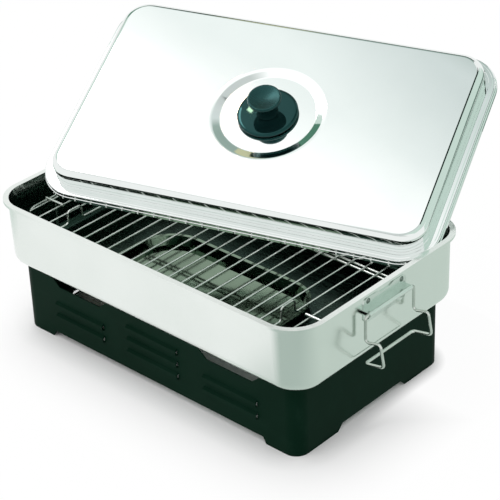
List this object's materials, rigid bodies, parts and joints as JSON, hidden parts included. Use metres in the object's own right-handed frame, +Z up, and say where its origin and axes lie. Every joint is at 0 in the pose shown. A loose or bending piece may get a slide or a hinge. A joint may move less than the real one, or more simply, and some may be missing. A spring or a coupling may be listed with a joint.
{
  "type": "stovetop smoker box",
  "caption": "Stovetop smoker box: steel pan with wire rack and drip tray, loose domed lid with knob lying askew, wire bails on the ends, and a vented wind shield over spirit burners.",
  "frame": {"origin": "on the table plane under the centre of the wind shield", "axes": "+Z up, +X along the length to the end seen on the right, -Y to the front with the vents and louvres"},
  "size_m": [0.4956, 0.4132, 0.2732],
  "materials": {
    "shield_enamel": "dark green-black heat-proof enamel, satin",
    "satin_steel": "satin stainless steel sheet",
    "polished_steel": "mirror-polished stainless steel sheet",
    "bright_wire": "bright plated steel wire",
    "bracket_steel": "pressed steel strip, satin",
    "rivet_steel": "steel rivets, satin",
    "tray_steel": "bright stainless steel sheet",
    "knob_black": "gloss black heat-proof moulding",
    "washer_steel": "turned steel",
    "burner_steel": "pressed steel",
    "burner_gauze": "perforated steel cover, dull",
    "wadding_white": "absorbent mineral wadding"
  },
  "bodies": {
    "shield": {"wind_shield": "shield_enamel", "shield_seam_strap": "shield_enamel", "shield_seam_rivets": "rivet_steel"},
    "pan": {"smoker_pan": "satin_steel", "handle_bracket_right": "bracket_steel", "handle_bracket_left": "bracket_steel", "bracket_rivets_right": "rivet_steel", "bracket_rivets_left": "rivet_steel"},
    "bail_right_loop": {"bail_right": "bright_wire"},
    "bail_left_loop": {"bail_left": "bright_wire"},
    "rack": {"rack_grid": "bright_wire", "rack_frame": "bright_wire", "rack_hump_bars": "bright_wire", "rack_leg_front_left": "bright_wire", "rack_leg_back_left": "bright_wire", "rack_leg_front_right": "bright_wire", "rack_leg_back_right": "bright_wire"},
    "tray": {"drip_tray": "tray_steel"},
    "lid": {"lid_shell": "polished_steel", "lid_knob_washer": "washer_steel", "lid_knob_disc": "knob_black", "lid_knob": "knob_black", "lid_knob_screw": "washer_steel", "lid_screw_washer": "washer_steel"},
    "burner_left": {"burner_left_cup": "burner_steel", "burner_left_wadding": "wadding_white", "burner_left_grille": "burner_gauze"},
    "burner_right": {"burner_right_cup": "burner_steel", "burner_right_wadding": "wadding_white", "burner_right_grille": "burner_gauze"}
  },
  "joints": [
    {"name": "pan_lift", "type": "slide", "parent": "shield", "child": "pan", "axis": [0, 0, 1], "range_m": [0, 0.12]},
    {"name": "bail_right_swing", "type": "hinge", "parent": "pan", "child": "bail_right_loop", "pos_m": [0.2119, 0, 0.1325], "axis": [0, -1, 0], "range_deg": [0, 180]},
    {"name": "bail_left_swing", "type": "hinge", "parent": "pan", "child": "bail_left_loop", "pos_m": [-0.2119, 0, 0.1325], "axis": [0, 1, 0], "range_deg": [0, 150]},
    {"name": "rack_lift", "type": "slide", "parent": "pan", "child": "rack", "axis": [0, 0, 1], "range_m": [0, 0.12]},
    {"name": "lid_lift", "type": "slide", "parent": "rack", "child": "lid", "axis": [0, 0, 1], "range_m": [0, 0.12]},
    {"name": "tray_lift", "type": "slide", "parent": "pan", "child": "tray", "axis": [0, 0, 1], "range_m": [0, 0.038]},
    {"name": "burner_left_lift", "type": "slide", "parent": "shield", "child": "burner_left", "axis": [0, 0, 1], "range_m": [0, 0.04]},
    {"name": "burner_right_lift", "type": "slide", "parent": "shield", "child": "burner_right", "axis": [0, 0, 1], "range_m": [0, 0.04]}
  ]
}
